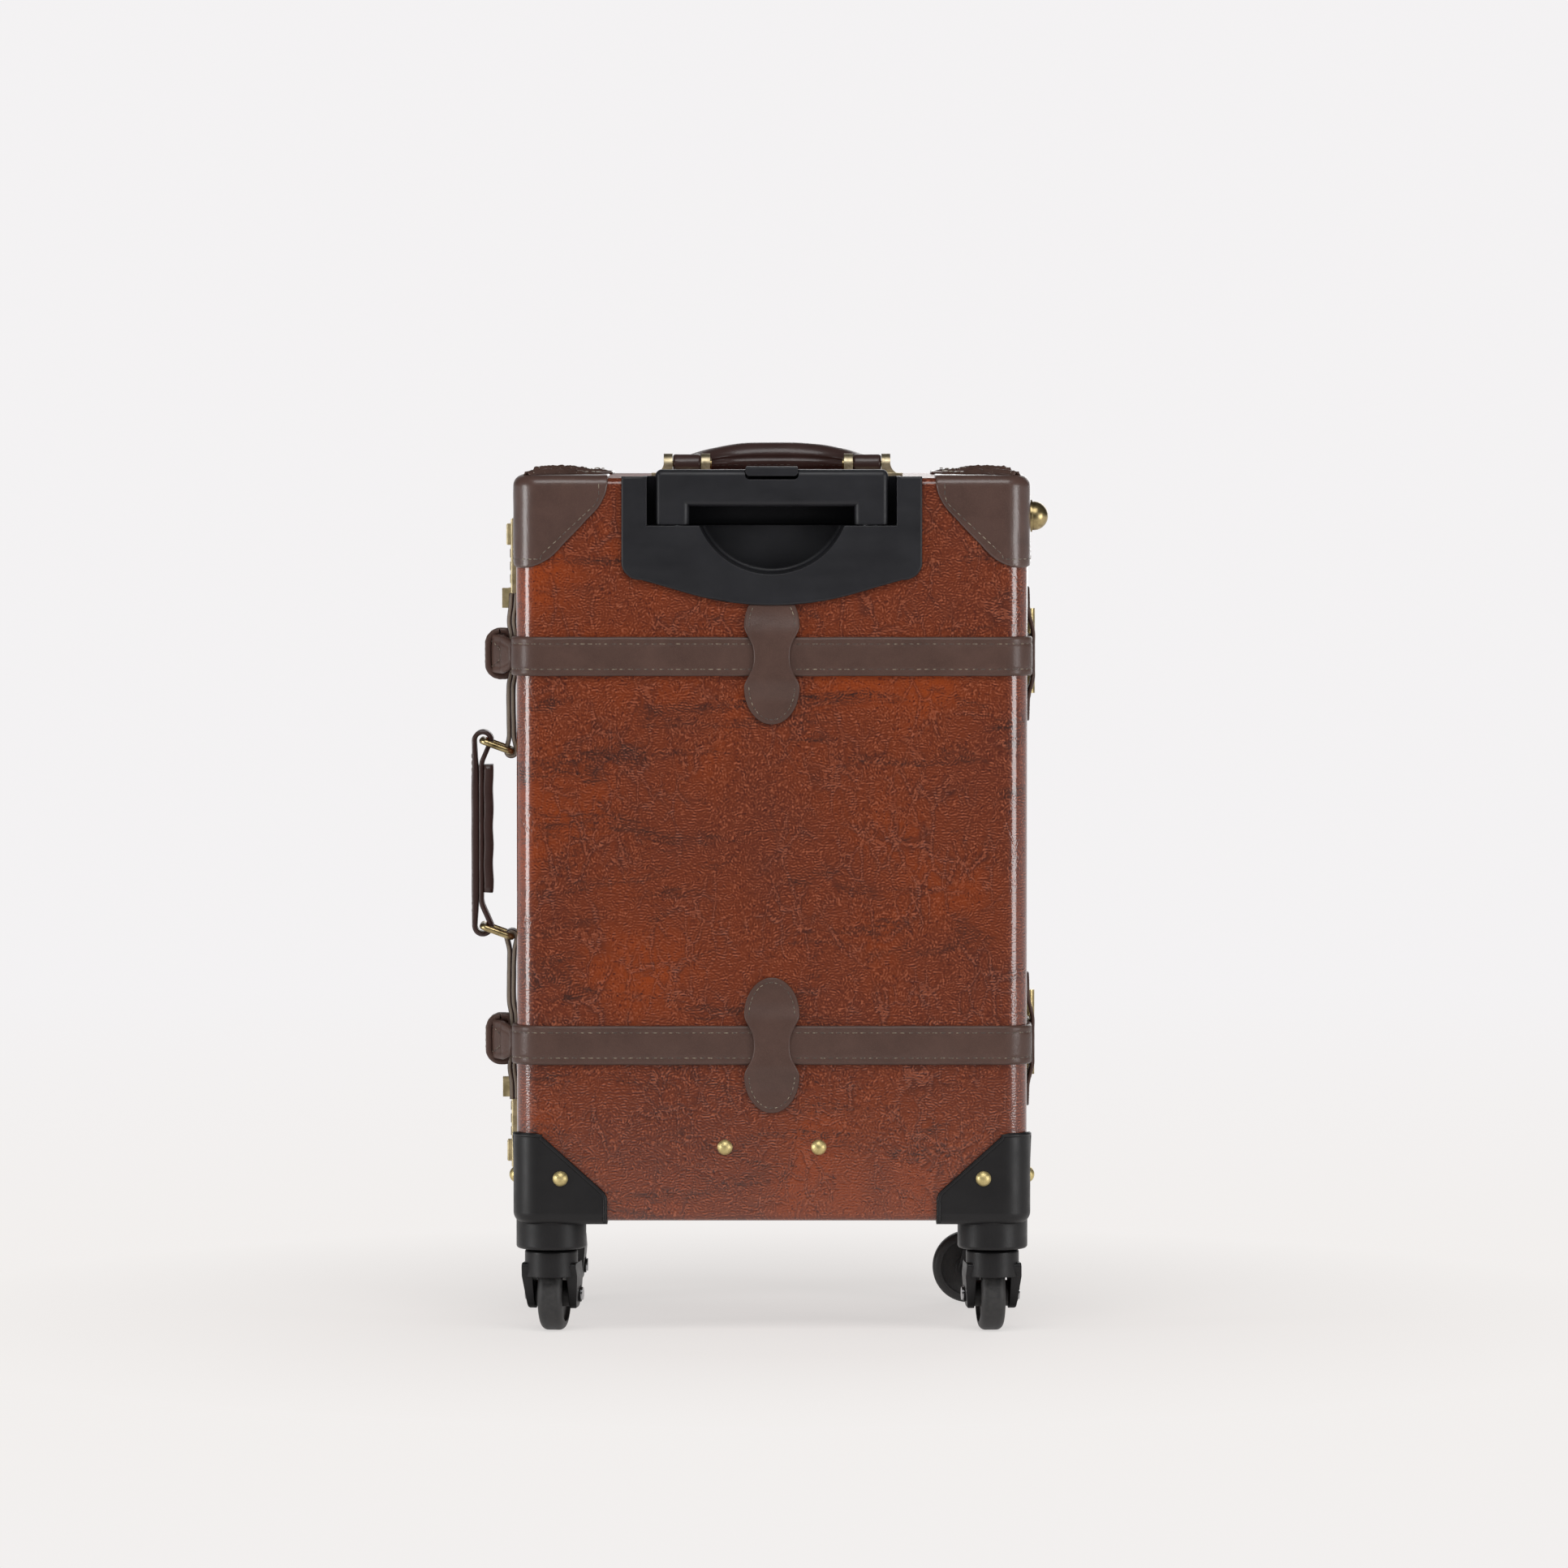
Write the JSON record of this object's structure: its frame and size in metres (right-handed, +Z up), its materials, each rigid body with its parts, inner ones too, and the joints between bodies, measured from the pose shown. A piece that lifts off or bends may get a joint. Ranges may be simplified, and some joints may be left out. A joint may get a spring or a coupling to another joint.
{
  "type": "leather trolley suitcase",
  "caption": "Upright leather trolley suitcase with belts, corner caps and guards, brass combination locks, telescopic handle, carry handles, a side-hinged lid and swivel castors.",
  "frame": {"origin": "on the floor under the middle of the case, in the parting plane between the two halves", "axes": "+Z up, +X to the hinge side (right when seen from behind), +Y from the back half with the trolley handle towards the lid"},
  "size_m": [0.376, 0.2438, 0.5794],
  "materials": {
    "leather_brown": "glossy mottled reddish-brown leather with fine creases",
    "leather_dark": "dark brown satin leather with stitched edges",
    "black_plastic": "black moulded plastic with a fine grain",
    "wheel_rubber": "black rubber-like wheel compound",
    "brass": "antiqued brass plating",
    "dial_brass": "antiqued brass plating, fluted",
    "aluminium": "satin drawn aluminium",
    "axle_steel": "bright steel",
    "lining_fabric": "plain woven beige lining"
  },
  "bodies": {
    "back_half": {"back_shell": "leather_brown", "back_frame": "aluminium", "back_lining": "lining_fabric", "trolley_housing": "black_plastic", "trolley_outer_tubes": "aluminium", "trolley_foot_bracket": "black_plastic", "back_corner_caps": "leather_dark", "back_corner_guards": "black_plastic", "back_rivets": "brass", "back_belts": "leather_dark", "back_belt_keepers": "leather_dark", "belt_loops": "leather_dark", "top_handle_brackets": "brass", "top_handle_pins": "brass", "side_handle_tabs": "leather_dark", "back_side_foot": "brass", "lock_cases": "brass", "back_hinge_leaves": "brass", "hinge_pins": "brass"},
    "front_half": {"front_shell": "leather_brown", "front_frame": "aluminium", "front_lining": "lining_fabric", "front_corner_caps": "leather_dark", "front_corner_guards": "black_plastic", "front_rivets": "brass", "front_belts": "leather_dark", "front_belt_keepers": "leather_dark", "front_hinge_leaves": "brass", "hasp_bases": "brass"},
    "back_left_castor": {"back_left_fork": "black_plastic", "back_left_axle": "axle_steel"},
    "back_left_roller": {"back_left_wheel": "wheel_rubber"},
    "back_right_castor": {"back_right_fork": "black_plastic", "back_right_axle": "axle_steel"},
    "back_right_roller": {"back_right_wheel": "wheel_rubber"},
    "front_left_castor": {"front_left_fork": "black_plastic", "front_left_axle": "axle_steel"},
    "front_left_roller": {"front_left_wheel": "wheel_rubber"},
    "front_right_castor": {"front_right_fork": "black_plastic", "front_right_axle": "axle_steel"},
    "front_right_roller": {"front_right_wheel": "wheel_rubber"},
    "trolley_stage": {"trolley_mid_tubes": "aluminium"},
    "trolley_handle": {"trolley_inner_tubes": "aluminium", "trolley_grip": "black_plastic"},
    "trolley_release": {"trolley_button": "black_plastic"},
    "carry_handle": {"top_handle": "leather_dark"},
    "upper_ring": {"upper_handle_ring": "brass"},
    "lower_ring": {"lower_handle_ring": "brass"},
    "side_grip": {"side_handle": "leather_dark"},
    "upper_lock_hasp": {"upper_hasp": "brass"},
    "upper_lock_knob": {"upper_lock_slider": "brass"},
    "upper_dial_1": {"upper_lock_dial_1": "dial_brass"},
    "upper_dial_2": {"upper_lock_dial_2": "dial_brass"},
    "upper_dial_3": {"upper_lock_dial_3": "dial_brass"},
    "lower_lock_hasp": {"lower_hasp": "brass"},
    "lower_lock_knob": {"lower_lock_slider": "brass"},
    "lower_dial_1": {"lower_lock_dial_1": "dial_brass"},
    "lower_dial_2": {"lower_lock_dial_2": "dial_brass"},
    "lower_dial_3": {"lower_lock_dial_3": "dial_brass"}
  },
  "joints": [
    {"name": "lid_hinge", "type": "hinge", "parent": "back_half", "child": "front_half", "pos_m": [0.17035, 0, 0.31625], "axis": [0, 0, -1], "range_deg": [0, 140]},
    {"name": "back_left_swivel", "type": "hinge", "parent": "back_half", "child": "back_left_castor", "pos_m": [-0.144, -0.089, 0.053], "axis": [0, 0, 1], "continuous": true},
    {"name": "back_left_roll", "type": "hinge", "parent": "back_left_castor", "child": "back_left_roller", "pos_m": [-0.14233, -0.07712, 0.024], "axis": [0.9903, -0.1392, 0], "continuous": true},
    {"name": "back_right_swivel", "type": "hinge", "parent": "back_half", "child": "back_right_castor", "pos_m": [0.144, -0.089, 0.053], "axis": [0, 0, 1], "continuous": true},
    {"name": "back_right_roll", "type": "hinge", "parent": "back_right_castor", "child": "back_right_roller", "pos_m": [0.14295, -0.07705, 0.024], "axis": [0.9962, 0.0872, 0], "continuous": true},
    {"name": "front_left_swivel", "type": "hinge", "parent": "front_half", "child": "front_left_castor", "pos_m": [-0.144, 0.089, 0.053], "axis": [0, 0, 1], "continuous": true},
    {"name": "front_left_roll", "type": "hinge", "parent": "front_left_castor", "child": "front_left_roller", "pos_m": [-0.14337, 0.10098, 0.024], "axis": [0.9986, -0.0523, 0], "continuous": true},
    {"name": "front_right_swivel", "type": "hinge", "parent": "front_half", "child": "front_right_castor", "pos_m": [0.144, 0.089, 0.053], "axis": [0, 0, 1], "continuous": true},
    {"name": "front_right_roll", "type": "hinge", "parent": "front_right_castor", "child": "front_right_roller", "pos_m": [0.132, 0.089, 0.024], "axis": [0, 1, 0], "continuous": true},
    {"name": "trolley_stage_slide", "type": "slide", "parent": "back_half", "child": "trolley_stage", "axis": [0, 0, 1], "range_m": [0, 0.205]},
    {"name": "trolley_handle_slide", "type": "slide", "parent": "trolley_stage", "child": "trolley_handle", "axis": [0, 0, 1], "range_m": [0, 0.205]},
    {"name": "trolley_release_press", "type": "slide", "parent": "trolley_handle", "child": "trolley_release", "axis": [0, 0, -1], "range_m": [0, 0.002], "stiffness_N_per_m": 400},
    {"name": "carry_handle_swing", "type": "hinge", "parent": "back_half", "child": "carry_handle", "pos_m": [0.0033, -0.018, 0.5658], "axis": [1, 0, 0], "range_deg": [0, 165]},
    {"name": "upper_ring_swing", "type": "hinge", "parent": "back_half", "child": "upper_ring", "pos_m": [-0.1705, -0.055, 0.37845], "axis": [0, 1, 0], "range_deg": [-50, 25]},
    {"name": "lower_ring_swing", "type": "hinge", "parent": "back_half", "child": "lower_ring", "pos_m": [-0.1705, -0.055, 0.25695], "axis": [0, 1, 0], "range_deg": [-50, 25]},
    {"name": "side_grip_swing", "type": "hinge", "parent": "upper_ring", "child": "side_grip", "pos_m": [-0.18929, -0.055, 0.38529], "axis": [0, 1, 0], "range_deg": [-25, 50]},
    {"name": "upper_hasp_swing", "type": "hinge", "parent": "front_half", "child": "upper_lock_hasp", "pos_m": [-0.16865, 0.0065, 0.47735], "axis": [0, 0, -1], "range_deg": [0, 110]},
    {"name": "upper_knob_slide", "type": "slide", "parent": "back_half", "child": "upper_lock_knob", "axis": [0, 0, 1], "range_m": [0, 0.003], "stiffness_N_per_m": 200},
    {"name": "upper_dial_1_turn", "type": "hinge", "parent": "back_half", "child": "upper_dial_1", "pos_m": [-0.1682, -0.0145, 0.50675], "axis": [0, 0, 1], "continuous": true},
    {"name": "upper_dial_2_turn", "type": "hinge", "parent": "back_half", "child": "upper_dial_2", "pos_m": [-0.1682, -0.0145, 0.49835], "axis": [0, 0, 1], "continuous": true},
    {"name": "upper_dial_3_turn", "type": "hinge", "parent": "back_half", "child": "upper_dial_3", "pos_m": [-0.1682, -0.0145, 0.48995], "axis": [0, 0, 1], "continuous": true},
    {"name": "lower_hasp_swing", "type": "hinge", "parent": "front_half", "child": "lower_lock_hasp", "pos_m": [-0.16865, 0.0065, 0.15435], "axis": [0, 0, -1], "range_deg": [0, 110]},
    {"name": "lower_knob_slide", "type": "slide", "parent": "back_half", "child": "lower_lock_knob", "axis": [0, 0, -1], "range_m": [0, 0.003], "stiffness_N_per_m": 200},
    {"name": "lower_dial_1_turn", "type": "hinge", "parent": "back_half", "child": "lower_dial_1", "pos_m": [-0.1682, -0.0145, 0.12495], "axis": [0, 0, 1], "continuous": true},
    {"name": "lower_dial_2_turn", "type": "hinge", "parent": "back_half", "child": "lower_dial_2", "pos_m": [-0.1682, -0.0145, 0.13335], "axis": [0, 0, 1], "continuous": true},
    {"name": "lower_dial_3_turn", "type": "hinge", "parent": "back_half", "child": "lower_dial_3", "pos_m": [-0.1682, -0.0145, 0.14175], "axis": [0, 0, 1], "continuous": true}
  ],
  "couplings": [
    {"joint": "lower_ring_swing", "follows": "upper_ring_swing", "ratio": 1},
    {"joint": "side_grip_swing", "follows": "upper_ring_swing", "ratio": -1}
  ]
}
